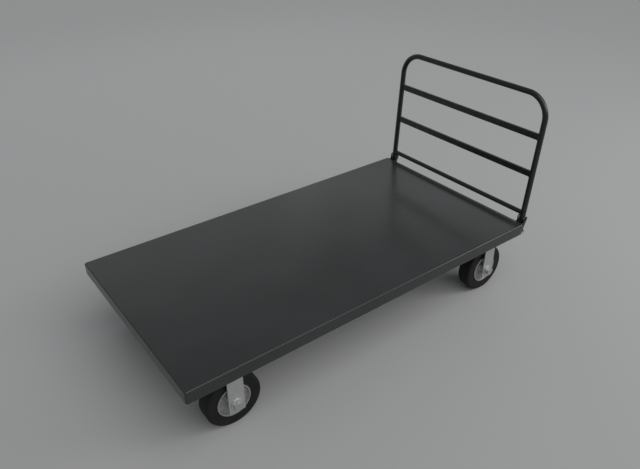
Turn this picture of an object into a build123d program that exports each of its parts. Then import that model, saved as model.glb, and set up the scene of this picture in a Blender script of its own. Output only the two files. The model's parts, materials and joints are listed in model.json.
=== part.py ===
from build123d import *
import os
from math import asin, atan2, cos, degrees, hypot, radians, sin

os.makedirs("parts", exist_ok=True)

# Folding platform cart: a pressed steel deck on two rigid and two swivel casters, with a bent
# tube handle that folds forward onto the deck about a pivot at each rear corner.
#
# Frame: millimetres, +Z up from the floor, +X towards the handle end, origin on the floor under
# the middle of the whole cart.  Left is -Y and right is +Y, as for a person at the handle who
# looks over the deck.

# ---------------------------------------------------------------- driving dimensions

# Deck: one folded sheet with an apron all round and a return lip below it
deck_length = 1524.0
deck_width = 813.0
apron_depth = 47.5
sheet = 2.5
deck_corner_radius = 9.0
deck_edge_radius = 4.5
lip_width = 22.0

# Channels welded under the deck
rail_width = 150.0
rail_depth = 49.5
rail_wall = 4.0
rail_bend = 7.0
rail_end_gap = 1.5
stiffener_width = 70.0
stiffener_depth = 38.0
stiffener_wall = 2.5
stiffener_bend = 5.0
stiffener_pitch = 225.0
stiffener_count = 3

# Casters
caster_end_inset = 180.0
tyre_side_inset = 57.7
swivel_trail = 45.0
plate_length = 135.0
plate_width = 110.0
plate_thickness = 6.0
plate_corner_radius = 9.0
plate_bolt_x = 105.0
plate_bolt_y = 80.0
tyre_leg_gap = 11.2
tyre_top_gap = 12.5
fork_wall = 4.5
fork_bend = 9.0
leg_width = 57.0
leg_below_axle = 35.0
leg_corner_radius = 3.0
skirt_depth = 10.0

# Wheels
wheel_diameter = 200.0
tyre_width = 56.0
tyre_shoulder = 7.7
tyre_bead_radius = 1.5
hub_diameter = 121.2
hub_rim = 5.0
hub_rim_chamfer = 1.0
hub_boss_diameter = 48.0
hub_boss_chamfer = 1.5
hub_boss_fillet = 4.0
hub_dish = 9.0
hub_bolt_count = 5
hub_bolt_circle = 92.0
hub_bolt_pocket = 9.0

# Axles and wheel bearings
axle_diameter = 20.0
axle_head_flats = 30.0
axle_head_height = 12.5
axle_head_chamfer = 1.2
axle_nut_height = 16.0
axle_end = 3.0
axle_washer_diameter = 44.0
axle_washer_thickness = 3.0
thrust_washer_diameter = 40.0
thrust_washer_thickness = 3.0
sleeve_wall = 2.5
roller_diameter = 5.0
roller_count = 12
shell_wall = 1.6
bearing_recess = 1.0

# Swivel bearing
kingpin_diameter = 16.0
kingpin_head_diameter = 26.0
kingpin_head_height = 5.0
kingpin_nut_flats = 24.0
kingpin_nut_height = 8.0
kingpin_end = 1.5
race_inner_diameter = 52.0
race_outer_diameter = 80.0
race_height = 6.0
race_groove_depth = 1.35
ball_diameter = 9.0
ball_count = 18

# Caster bolts and corner plate bolts
caster_bolt_diameter = 10.0
caster_bolt_flats = 16.0
caster_bolt_flange = 21.0
caster_flange_thickness = 2.0
caster_head_height = 8.0
caster_nut_height = 8.4
plate_bolt_diameter = 8.0
plate_bolt_flats = 13.0
plate_head_height = 5.3
plate_nut_height = 6.5
bolt_end = 2.5

# Handle: one bent tube with three crossbars between its legs
handle_side_inset = 25.5
handle_height = 502.5
handle_lean = 2.9
handle_bend = 92.0
tube_diameter = 22.2
tube_wall = 1.6
foot_length = 46.0
bar_height = 25.0
bar_depth = 12.0
bar_wall = 1.5
bar_corner_radius = 2.5
upper_bar_rise = 346.3
middle_bar_rise = 192.0
lower_bar_rise = 20.2
lower_bar_diameter = 19.0

# Handle pivot: a clevis on the rear apron at each corner, and a plate under it
foot_deck_gap = 8.9
folded_deck_gap = 2.4
pivot_pin_diameter = 8.0
pivot_head_diameter = 15.0
pivot_head_height = 2.8
pivot_head_taper = 25.0
pivot_sleeve_diameter = 12.0
pivot_sleeve_stand = 1.0
pivot_washer_diameter = 18.0
pivot_washer_thickness = 1.5
ear_thickness = 3.5
ear_radius = 10.0
ear_foot = 9.0
clevis_wall = 3.5
clevis_top_gap = 1.0
stop_height = 12.0
stop_width = 16.0
stop_below_pivot = 36.0
plug_height = 9.0
corner_plate_thickness = 5.0
corner_plate_width = 46.0
corner_plate_reach = 84.0
corner_plate_behind_pivot = 6.0
corner_plate_inward_shift = 1.0
corner_plate_upstand = 12.0
corner_plate_upstand_wall = 3.0
corner_plate_radius = 6.0
corner_bolt_inset = 13.0
corner_bolt_spacing = 44.0
corner_bolt_offset = 21.0
plunger_diameter = 8.0
plunger_nose_diameter = 5.0
plunger_nose_height = 5.5
plunger_tail = 3.0

# Clearances
running_clearance = 0.08
thread_clearance = 0.05
weld_clearance = 0.05
hole_clearance = 0.5
side_clearance = 0.1
wheel_side_clearance = 0.4
ball_clearance = 0.1
stop_clearance = 0.3
nut_clearance = 0.3

# ---------------------------------------------------------------- places worked out from them

lean = radians(handle_lean)
pivot_setback = tube_diameter / 2 + foot_deck_gap
pivot_rise = tube_diameter / 2 + folded_deck_gap
handle_width = deck_width - 2 * handle_side_inset
corner_plate_overhang = pivot_setback + corner_plate_behind_pivot

fork_gap = tyre_width + 2 * tyre_leg_gap
sleeve_diameter = axle_diameter + 2 * sleeve_wall
race_gap = ball_diameter - 2 * race_groove_depth
swivel_web_drop = plate_thickness + 2 * race_height + race_gap
caster_height = wheel_diameter + tyre_top_gap + fork_wall + swivel_web_drop

deck_top = caster_height + rail_depth + sheet
deck_underside = deck_top - sheet
apron_bottom = deck_top - apron_depth
handle_reach = pivot_setback + handle_height * sin(lean) + tube_diameter / 2
overall_length = deck_length + handle_reach
deck_front = -overall_length / 2
deck_rear = deck_front + deck_length
deck_middle = (deck_front + deck_rear) / 2

axle_z = wheel_diameter / 2
caster_y = deck_width / 2 - tyre_side_inset - tyre_width / 2
front_caster_x = deck_front + caster_end_inset
rear_caster_x = deck_rear - caster_end_inset
rear_axle_x = rear_caster_x + swivel_trail
plate_underside = caster_height - plate_thickness
swivel_web_top = caster_height - swivel_web_drop
swivel_web_underside = swivel_web_top - fork_wall
fork_width = fork_gap + 2 * fork_wall
leg_bottom = axle_z - leg_below_axle
rail_length = deck_width - 2 * (lip_width + rail_end_gap)
hub_length = fork_gap - 2 * (thrust_washer_thickness + wheel_side_clearance)

pivot_x = deck_rear + pivot_setback
pivot_z = deck_top + pivot_rise
handle_y = handle_width / 2
sleeve_half = tube_diameter / 2 + pivot_sleeve_stand
ear_inner = sleeve_half + side_clearance + pivot_washer_thickness
ear_outer = ear_inner + ear_thickness
corner_plate_top = apron_bottom
corner_plate_bottom = corner_plate_top - corner_plate_thickness

sides = {"left": -1, "right": 1}
handle_plane = Plane(origin=(pivot_x, 0, pivot_z), x_dir=(0, 1, 0), z_dir=(cos(lean), 0, -sin(lean)))


def save(piece, name):
    """Label a finished piece and write its STEP file."""
    piece.part.label = name
    export_step(piece.part, f"parts/{name}.step")


def channel_section(width, depth, wall, bend):
    """U section with its web's outer face on the X axis, open towards +Y."""
    with BuildSketch() as section:
        with Locations((0, depth / 2)):
            Rectangle(width, depth)
        fillet(section.vertices().group_by(Axis.Y)[0], bend)
        with BuildSketch(mode=Mode.PRIVATE) as hollow:
            with Locations((0, wall + depth / 2)):
                Rectangle(width - 2 * wall, depth)
            fillet(hollow.vertices().group_by(Axis.Y)[0], bend - wall)
        add(hollow.sketch, mode=Mode.SUBTRACT)
    return section.sketch


def wheel_plane(x, y):
    """Plane through a wheel's centre: its X runs along the axle and its Y points straight up."""
    return Plane(origin=(x, y, axle_z), x_dir=(0, 1, 0), z_dir=(1, 0, 0))


def along_y(x, y, z):
    """Plane whose normal points along +Y, with its X along +X."""
    return Plane(origin=(x, y, z), x_dir=(1, 0, 0), z_dir=(0, 1, 0))


def corner_bolt_places(side):
    """Where a corner plate is bolted through the deck's side lip."""
    first = deck_rear - corner_bolt_offset
    bolt_y = side * (deck_width / 2 - corner_bolt_inset)
    return [(first, bolt_y), (first - corner_bolt_spacing, bolt_y)]


def caster_bolt_places(x, y):
    """Centres of the four bolt holes of a caster plate."""
    return [(x + i * plate_bolt_x / 2, y + j * plate_bolt_y / 2) for i in (-1, 1) for j in (-1, 1)]


both_corner_bolts = corner_bolt_places(-1) + corner_bolt_places(1)
front_bolts = caster_bolt_places(front_caster_x, -caster_y) + caster_bolt_places(front_caster_x, caster_y)
rear_bolts = caster_bolt_places(rear_caster_x, -caster_y) + caster_bolt_places(rear_caster_x, caster_y)
corner_bolt_hole = (plate_bolt_diameter + hole_clearance) / 2
caster_bolt_hole = (caster_bolt_diameter + hole_clearance) / 2

# ---------------------------------------------------------------- deck and its channels

with BuildPart() as pan_hollow:
    with BuildSketch(Plane.XY.offset(apron_bottom)):
        with Locations((deck_middle, 0)):
            RectangleRounded(deck_length - 2 * sheet, deck_width - 2 * sheet, deck_corner_radius - sheet)
    extrude(amount=apron_depth - sheet)
    fillet(pan_hollow.faces().sort_by(Axis.Z)[-1].edges(), deck_edge_radius - sheet)

with BuildPart() as deck_pan:
    with BuildSketch(Plane.XY.offset(apron_bottom)):
        with Locations((deck_middle, 0)):
            RectangleRounded(deck_length, deck_width, deck_corner_radius)
    extrude(amount=apron_depth)
    fillet(deck_pan.faces().sort_by(Axis.Z)[-1].edges(), deck_edge_radius)
    add(pan_hollow.part, mode=Mode.SUBTRACT)
    with BuildSketch(Plane.XY.offset(apron_bottom)):
        with Locations((deck_middle, 0)):
            RectangleRounded(deck_length, deck_width, deck_corner_radius)
            Rectangle(deck_length - 2 * lip_width, deck_width - 2 * lip_width, mode=Mode.SUBTRACT)
    extrude(amount=sheet)
    with BuildSketch(Plane.XY.offset(apron_bottom)):
        with Locations(*both_corner_bolts):
            Circle(corner_bolt_hole)
    extrude(amount=sheet, mode=Mode.SUBTRACT)
save(deck_pan, "deck_pan")

for name, rail_x, holes in (
    ("front_caster_rail", front_caster_x, front_bolts),
    ("rear_caster_rail", rear_caster_x, rear_bolts),
):
    with BuildPart() as rail:
        with BuildSketch(Plane.XZ.offset(-rail_length / 2)):
            with Locations((rail_x, caster_height)):
                add(channel_section(rail_width, rail_depth, rail_wall, rail_bend))
        extrude(amount=rail_length)
        with BuildSketch(Plane.XY.offset(caster_height)):
            with Locations(*holes):
                Circle(caster_bolt_hole)
        extrude(amount=rail_wall, mode=Mode.SUBTRACT)
    save(rail, name)

stiffener_start = front_caster_x + rail_width / 2
stiffener_length = rear_caster_x - front_caster_x - rail_width
with BuildPart() as deck_stiffeners:
    with BuildSketch(Plane.YZ.offset(stiffener_start)):
        with Locations((0, deck_underside - stiffener_depth)):
            with GridLocations(stiffener_pitch, 1, stiffener_count, 1):
                add(channel_section(stiffener_width, stiffener_depth, stiffener_wall, stiffener_bend))
    extrude(amount=stiffener_length)
save(deck_stiffeners, "deck_stiffeners")

# ---------------------------------------------------------------- caster plates, forks and bolts

for name, side in sides.items():
    caster_side = side * caster_y

    with BuildPart() as rigid_plate:
        with BuildSketch(Plane.XY.offset(plate_underside)):
            with Locations((front_caster_x, caster_side)):
                RectangleRounded(plate_length, plate_width, plate_corner_radius)
            with Locations(*caster_bolt_places(front_caster_x, caster_side)):
                Circle(caster_bolt_hole, mode=Mode.SUBTRACT)
        extrude(amount=plate_thickness)
    save(rigid_plate, f"rigid_plate_{name}")

    # Rigid fork: one strip bent to a U, its web welded under the plate
    fork_top = Plane(
        origin=(front_caster_x - leg_width / 2, caster_side, plate_underside),
        x_dir=(0, -1, 0),
        z_dir=(1, 0, 0),
    )
    with BuildPart() as rigid_fork:
        with BuildSketch(fork_top):
            add(channel_section(fork_width, plate_underside - leg_bottom, fork_wall, fork_bend))
        extrude(amount=leg_width)
        with BuildSketch(along_y(front_caster_x, caster_side - fork_width / 2, axle_z)):
            Circle((axle_diameter + hole_clearance) / 2)
        extrude(amount=fork_width, mode=Mode.SUBTRACT)
        leg_corners = rigid_fork.edges().filter_by(Axis.Y).group_by(Axis.Z)[0]
        fillet(leg_corners, leg_corner_radius)
    save(rigid_fork, f"rigid_fork_{name}")

    # Swivel plate, countersunk from above for the kingpin's head
    with BuildPart() as swivel_plate:
        with BuildSketch(Plane.XY.offset(plate_underside)):
            with Locations((rear_caster_x, caster_side)):
                RectangleRounded(plate_length, plate_width, plate_corner_radius)
                Circle(kingpin_diameter / 2 + thread_clearance, mode=Mode.SUBTRACT)
            with Locations(*caster_bolt_places(rear_caster_x, caster_side)):
                Circle(caster_bolt_hole, mode=Mode.SUBTRACT)
        extrude(amount=plate_thickness)
        with Locations((rear_caster_x, caster_side, caster_height - kingpin_head_height / 2)):
            Cone(
                kingpin_diameter / 2 + thread_clearance,
                kingpin_head_diameter / 2 + thread_clearance,
                kingpin_head_height,
                mode=Mode.SUBTRACT,
            )
    save(swivel_plate, f"swivel_plate_{name}")

    # Swivel fork: a round-nosed web over the wheel, a skirt along its edge and two straight legs
    web_length = swivel_trail + leg_width / 2
    with BuildPart() as swivel_fork:
        fork_top = Plane(
            origin=(rear_caster_x, caster_side, swivel_web_top),
            x_dir=(0, -1, 0),
            z_dir=(1, 0, 0),
        )
        with BuildSketch(fork_top):
            add(channel_section(fork_width, swivel_web_top - leg_bottom, fork_wall, fork_bend))
        extrude(amount=web_length)
        # cut the legs back to their strip below the skirts
        leg_front = rear_axle_x - leg_width / 2
        cut_height = swivel_web_underside - skirt_depth - leg_bottom
        with BuildSketch(Plane.XY.offset(leg_bottom)):
            with Locations(((rear_caster_x + leg_front) / 2, caster_side)):
                Rectangle(leg_front - rear_caster_x, fork_width)
        extrude(amount=cut_height, mode=Mode.SUBTRACT)
        # the web and its skirt run on in a half circle around the kingpin
        with BuildSketch(fork_top):
            add(channel_section(fork_width, fork_wall + skirt_depth, fork_wall, fork_bend))
            with Locations((-fork_width / 2, 0)):
                Rectangle(fork_width, 2 * (fork_wall + skirt_depth), mode=Mode.SUBTRACT)
        revolve(axis=Axis((rear_caster_x, caster_side, 0), (0, 0, 1)), revolution_arc=-180)
        with BuildSketch(Plane.XY.offset(swivel_web_underside)):
            with Locations((rear_caster_x, caster_side)):
                Circle(kingpin_diameter / 2 + running_clearance)
        extrude(amount=fork_wall, mode=Mode.SUBTRACT)
        with BuildSketch(along_y(rear_axle_x, caster_side - fork_width / 2, axle_z)):
            Circle((axle_diameter + hole_clearance) / 2)
        extrude(amount=fork_width, mode=Mode.SUBTRACT)
        leg_corners = swivel_fork.edges().filter_by(Axis.Y).group_by(Axis.Z)[0]
        fillet(leg_corners, leg_corner_radius)
    save(swivel_fork, f"swivel_fork_{name}")

# Flange bolts from below and weld nuts inside the rails, four to a caster
caster_bolt_top = caster_height + rail_wall + caster_nut_height + bolt_end
with BuildPart() as caster_bolts:
    with BuildSketch(Plane.XY.offset(plate_underside - caster_head_height)):
        with Locations(*front_bolts, *rear_bolts):
            RegularPolygon(caster_bolt_flats / 2, 6, major_radius=False)
    extrude(amount=caster_head_height)
    with BuildSketch(Plane.XY.offset(plate_underside - caster_flange_thickness)):
        with Locations(*front_bolts, *rear_bolts):
            Circle(caster_bolt_flange / 2)
    extrude(amount=caster_flange_thickness)
    with BuildSketch(Plane.XY.offset(plate_underside)):
        with Locations(*front_bolts, *rear_bolts):
            Circle(caster_bolt_diameter / 2)
    extrude(amount=caster_bolt_top - plate_underside)
save(caster_bolts, "caster_bolts")

with BuildPart() as caster_nuts:
    with BuildSketch(Plane.XY.offset(caster_height + rail_wall)):
        with Locations(*front_bolts, *rear_bolts):
            RegularPolygon(caster_bolt_flats / 2, 6, major_radius=False)
            Circle(caster_bolt_diameter / 2 + thread_clearance, mode=Mode.SUBTRACT)
    extrude(amount=caster_nut_height)
save(caster_nuts, "caster_nuts")

# ---------------------------------------------------------------- swivel bearings

swivel_places = [(rear_caster_x, -caster_y), (rear_caster_x, caster_y)]
ball_circle = (race_inner_diameter + race_outer_diameter) / 4
upper_race_bottom = plate_underside - race_height
lower_race_top = swivel_web_top + race_height
ball_z = (upper_race_bottom + lower_race_top) / 2
kingpin_nut_top = swivel_web_underside - nut_clearance
kingpin_bottom = kingpin_nut_top - kingpin_nut_height - kingpin_end


def race_ring(x, y, z):
    """One ball race: a flat ring with a round groove on the ball circle."""
    with BuildPart() as ring:
        with BuildSketch(Plane.XY.offset(z)):
            with Locations((x, y)):
                Circle(race_outer_diameter / 2)
                Circle(race_inner_diameter / 2, mode=Mode.SUBTRACT)
        extrude(amount=race_height)
        with Locations((x, y, ball_z)):
            Torus(ball_circle, ball_diameter / 2 + ball_clearance, mode=Mode.SUBTRACT)
    return ring.part


with BuildPart() as upper_races:
    for x, y in swivel_places:
        add(race_ring(x, y, upper_race_bottom))
save(upper_races, "upper_races")

with BuildPart() as swivel_balls:
    for x, y in swivel_places:
        with Locations((x, y, ball_z)):
            with PolarLocations(ball_circle, ball_count):
                Sphere(ball_diameter / 2)
save(swivel_balls, "swivel_balls")

with BuildPart() as kingpins:
    with BuildSketch(Plane.XY.offset(kingpin_bottom)):
        with Locations(*swivel_places):
            Circle(kingpin_diameter / 2)
    extrude(amount=caster_height - kingpin_bottom)
    for x, y in swivel_places:
        with Locations((x, y, caster_height - kingpin_head_height / 2)):
            Cone(kingpin_diameter / 2, kingpin_head_diameter / 2, kingpin_head_height)
save(kingpins, "kingpins")

with BuildPart() as kingpin_nuts:
    with BuildSketch(Plane.XY.offset(kingpin_nut_top - kingpin_nut_height)):
        with Locations(*swivel_places):
            RegularPolygon(kingpin_nut_flats / 2, 6, major_radius=False)
            Circle(kingpin_diameter / 2 + thread_clearance, mode=Mode.SUBTRACT)
    extrude(amount=kingpin_nut_height)
save(kingpin_nuts, "kingpin_nuts")

# ---------------------------------------------------------------- axles

leg_face = fork_width / 2
head_seat = leg_face + axle_washer_thickness


def axle_bolt(x, y, side):
    """Hex bolt along Y with its head on the outboard side."""
    with BuildPart() as bolt:
        with BuildSketch(along_y(x, y - side * (head_seat + axle_nut_height + axle_end), axle_z)):
            Circle(axle_diameter / 2)
        extrude(amount=side * (2 * head_seat + axle_nut_height + axle_end))
        with BuildSketch(along_y(x, y + side * head_seat, axle_z)):
            RegularPolygon(axle_head_flats / 2, 6, major_radius=False, rotation=90)
        extrude(amount=side * axle_head_height)
        head_face = bolt.faces().sort_by(Axis.Y)[-1 if side > 0 else 0]
        chamfer(head_face.edges(), axle_head_chamfer)
    return bolt.part


def axle_nut(x, y, side):
    """Hex lock nut on the inboard end of the axle bolt."""
    with BuildPart() as nut:
        with BuildSketch(along_y(x, y - side * head_seat, axle_z)):
            RegularPolygon(axle_head_flats / 2, 6, major_radius=False, rotation=90)
            Circle(axle_diameter / 2 + thread_clearance, mode=Mode.SUBTRACT)
        extrude(amount=-side * axle_nut_height)
    return nut.part


def axle_washers(x, y):
    """Two washers outside the fork legs and two thrust washers inside them, on the sleeve."""
    with BuildPart() as washers:
        for side in (-1, 1):
            with BuildSketch(along_y(x, y + side * leg_face, axle_z)):
                Circle(axle_washer_diameter / 2)
                Circle(axle_diameter / 2 + hole_clearance / 2, mode=Mode.SUBTRACT)
            extrude(amount=side * axle_washer_thickness)
            with BuildSketch(along_y(x, y + side * fork_gap / 2, axle_z)):
                Circle(thrust_washer_diameter / 2)
                Circle(sleeve_diameter / 2 + weld_clearance, mode=Mode.SUBTRACT)
            extrude(amount=-side * thrust_washer_thickness)
    return washers.part


def axle_sleeve(x, y):
    """Hard sleeve clamped between the fork legs, on which the rollers run."""
    with BuildPart() as sleeve:
        with BuildSketch(along_y(x, y - fork_gap / 2, axle_z)):
            Circle(sleeve_diameter / 2)
            Circle(axle_diameter / 2 + hole_clearance / 4, mode=Mode.SUBTRACT)
        extrude(amount=fork_gap)
    return sleeve.part


with BuildPart() as front_axle_bolts:
    for side in sides.values():
        add(axle_bolt(front_caster_x, side * caster_y, side))
save(front_axle_bolts, "front_axle_bolts")

with BuildPart() as front_axle_nuts:
    for side in sides.values():
        add(axle_nut(front_caster_x, side * caster_y, side))
save(front_axle_nuts, "front_axle_nuts")

with BuildPart() as front_axle_washers:
    for side in sides.values():
        add(axle_washers(front_caster_x, side * caster_y))
save(front_axle_washers, "front_axle_washers")

with BuildPart() as front_axle_sleeves:
    for side in sides.values():
        add(axle_sleeve(front_caster_x, side * caster_y))
save(front_axle_sleeves, "front_axle_sleeves")

for name, side in sides.items():
    with BuildPart() as rear_bolt:
        add(axle_bolt(rear_axle_x, side * caster_y, side))
    save(rear_bolt, f"rear_axle_bolt_{name}")

    with BuildPart() as rear_nut:
        add(axle_nut(rear_axle_x, side * caster_y, side))
    save(rear_nut, f"rear_axle_nut_{name}")

    with BuildPart() as rear_washers:
        add(axle_washers(rear_axle_x, side * caster_y))
    save(rear_washers, f"rear_axle_washers_{name}")

    with BuildPart() as rear_sleeve:
        add(axle_sleeve(rear_axle_x, side * caster_y))
    save(rear_sleeve, f"rear_axle_sleeve_{name}")

    with BuildPart() as lower_race:
        add(race_ring(rear_caster_x, side * caster_y, swivel_web_top))
    save(lower_race, f"lower_race_{name}")

# ---------------------------------------------------------------- wheels

roller_circle = sleeve_diameter / 2 + running_clearance + roller_diameter / 2
shell_inner = roller_circle + roller_diameter / 2 + running_clearance
shell_outer = shell_inner + shell_wall
bearing_length = hub_length - 2 * bearing_recess
hub_radius = hub_diameter / 2
boss_radius = hub_boss_diameter / 2
rim_inner = hub_radius - hub_rim
dish_face = tyre_width / 2 - hub_dish

for end, wheel_x in (("front", front_caster_x), ("rear", rear_axle_x)):
    for name, side in sides.items():
        wheel_y = side * caster_y
        axle = Axis((wheel_x, wheel_y, axle_z), (0, 1, 0))

        # Tyre: solid rubber moulded on the core, flat tread with round shoulders
        with BuildPart() as tyre:
            with BuildSketch(wheel_plane(wheel_x, wheel_y)) as tyre_section:
                with Locations((0, (wheel_diameter / 2 + hub_radius) / 2)):
                    Rectangle(tyre_width, wheel_diameter / 2 - hub_radius)
                fillet(tyre_section.vertices().group_by(Axis.Y)[-1], tyre_shoulder)
                fillet(tyre_section.vertices().group_by(Axis.Y)[0], tyre_bead_radius)
            revolve(axis=axle)
        save(tyre, f"{end}_tyre_{name}")

        # Hub: cast core, dished on both sides between its rim and the boss
        with BuildPart() as hub:
            with BuildSketch(wheel_plane(wheel_x, wheel_y)) as hub_section:
                with BuildLine():
                    Polyline(
                        (0, shell_outer),
                        (hub_length / 2, shell_outer),
                        (hub_length / 2, boss_radius - hub_boss_chamfer),
                        (hub_length / 2 - hub_boss_chamfer, boss_radius),
                        (dish_face + hub_boss_fillet, boss_radius),
                        (dish_face, boss_radius + hub_boss_fillet),
                        (dish_face, rim_inner - hub_dish / 2),
                        (tyre_width / 2, rim_inner),
                        (tyre_width / 2, hub_radius - hub_rim_chamfer),
                        (tyre_width / 2 - hub_rim_chamfer, hub_radius),
                        (0, hub_radius),
                        close=True,
                    )
                make_face()
                mirror(about=Plane.YZ)
            revolve(axis=axle)
            # round pockets in both dished faces
            for face in (-1, 1):
                with BuildSketch(along_y(wheel_x, wheel_y + face * dish_face, axle_z)):
                    with PolarLocations(hub_bolt_circle / 2, hub_bolt_count):
                        Circle(hub_bolt_pocket / 2)
                extrude(amount=-face * hub_dish / 2, mode=Mode.SUBTRACT)
        save(hub, f"{end}_hub_{name}")

        # Roller bearing: a shell pressed in the hub and a full set of rollers round the sleeve
        bearing_start = along_y(wheel_x, wheel_y - bearing_length / 2, axle_z)
        with BuildPart() as bearing:
            with BuildSketch(bearing_start):
                Circle(shell_outer)
                Circle(shell_inner, mode=Mode.SUBTRACT)
            extrude(amount=bearing_length)
            with BuildSketch(bearing_start.offset(bearing_recess)):
                with PolarLocations(roller_circle, roller_count):
                    Circle(roller_diameter / 2)
            extrude(amount=bearing_length - 2 * bearing_recess)
        save(bearing, f"{end}_bearing_{name}")

# ---------------------------------------------------------------- handle

leg_axes = [handle_plane.from_local_coords((side * handle_y, 0, 0)) for side in (-1, 1)]

# Hoop: one tube, bent twice, with a cross hole at each foot for the pivot sleeve
with BuildPart() as handle_hoop:
    with BuildLine(handle_plane) as hoop_line:
        FilletPolyline(
            (-handle_y, -foot_length + plug_height / 2),
            (-handle_y, handle_height),
            (handle_y, handle_height),
            (handle_y, -foot_length + plug_height / 2),
            radius=handle_bend,
        )
    with BuildSketch(Plane(origin=hoop_line.line @ 0, z_dir=hoop_line.line % 0)):
        Circle(tube_diameter / 2)
        Circle(tube_diameter / 2 - tube_wall, mode=Mode.SUBTRACT)
    sweep()
    with BuildSketch(along_y(pivot_x, -deck_width / 2, pivot_z)):
        Circle(pivot_sleeve_diameter / 2 + weld_clearance)
    extrude(amount=deck_width, mode=Mode.SUBTRACT)
save(handle_hoop, "handle_hoop")


def leg_envelope():
    """Solid rods in the place of the hoop's legs, to cope what is welded between them."""
    with BuildPart() as rods:
        base = Plane(origin=handle_plane.origin, x_dir=handle_plane.x_dir, z_dir=handle_plane.y_dir)
        with BuildSketch(base.offset(-foot_length)):
            with Locations((-handle_y, 0), (handle_y, 0)):
                Circle(tube_diameter / 2 + weld_clearance)
        extrude(amount=handle_height)
    return rods.part


leg_rods = leg_envelope()
bar_section_plane = Plane(
    origin=handle_plane.origin, x_dir=handle_plane.z_dir, z_dir=-handle_plane.x_dir
).offset(-handle_y)

for name, rise in (("upper_crossbar", upper_bar_rise), ("middle_crossbar", middle_bar_rise)):
    with BuildPart() as crossbar:
        with BuildSketch(bar_section_plane):
            with Locations((0, rise)):
                RectangleRounded(bar_depth, bar_height, bar_corner_radius)
                RectangleRounded(
                    bar_depth - 2 * bar_wall,
                    bar_height - 2 * bar_wall,
                    bar_corner_radius - bar_wall,
                    mode=Mode.SUBTRACT,
                )
        extrude(amount=handle_width)
        add(leg_rods, mode=Mode.SUBTRACT)
    save(crossbar, name)

with BuildPart() as lower_crossbar:
    with BuildSketch(bar_section_plane):
        with Locations((0, lower_bar_rise)):
            Circle(lower_bar_diameter / 2)
            Circle(lower_bar_diameter / 2 - bar_wall, mode=Mode.SUBTRACT)
    extrude(amount=handle_width)
    add(leg_rods, mode=Mode.SUBTRACT)
save(lower_crossbar, "lower_crossbar")

# Sleeve through each foot, which turns on the pivot pin
with BuildPart() as pivot_sleeves:
    for side in sides.values():
        with BuildSketch(along_y(pivot_x, side * handle_y - sleeve_half, pivot_z)):
            Circle(pivot_sleeve_diameter / 2)
            Circle(pivot_pin_diameter / 2 + running_clearance, mode=Mode.SUBTRACT)
        extrude(amount=2 * sleeve_half)
save(pivot_sleeves, "pivot_sleeves")

# Plug in each foot: a spigot inside the tube and a shoe rounded about the pivot
with BuildPart() as foot_plugs:
    plug_base = Plane(origin=handle_plane.origin, x_dir=handle_plane.x_dir, z_dir=handle_plane.y_dir)
    with BuildSketch(plug_base.offset(-foot_length - plug_height)):
        with Locations((-handle_y, 0), (handle_y, 0)):
            Circle(tube_diameter / 2)
    extrude(amount=1.5 * plug_height)
    with BuildSketch(plug_base.offset(-foot_length + plug_height / 2)):
        with Locations((-handle_y, 0), (handle_y, 0)):
            Circle(tube_diameter / 2 - tube_wall - weld_clearance)
    extrude(amount=plug_height)
    with BuildSketch(along_y(pivot_x, -deck_width / 2, pivot_z)):
        Circle(foot_length)
    extrude(amount=deck_width, mode=Mode.INTERSECT)
save(foot_plugs, "foot_plugs")

# ---------------------------------------------------------------- pivot clevises and corner plates

clevis_bottom = apron_bottom
web_rear = deck_rear + clevis_wall

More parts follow.
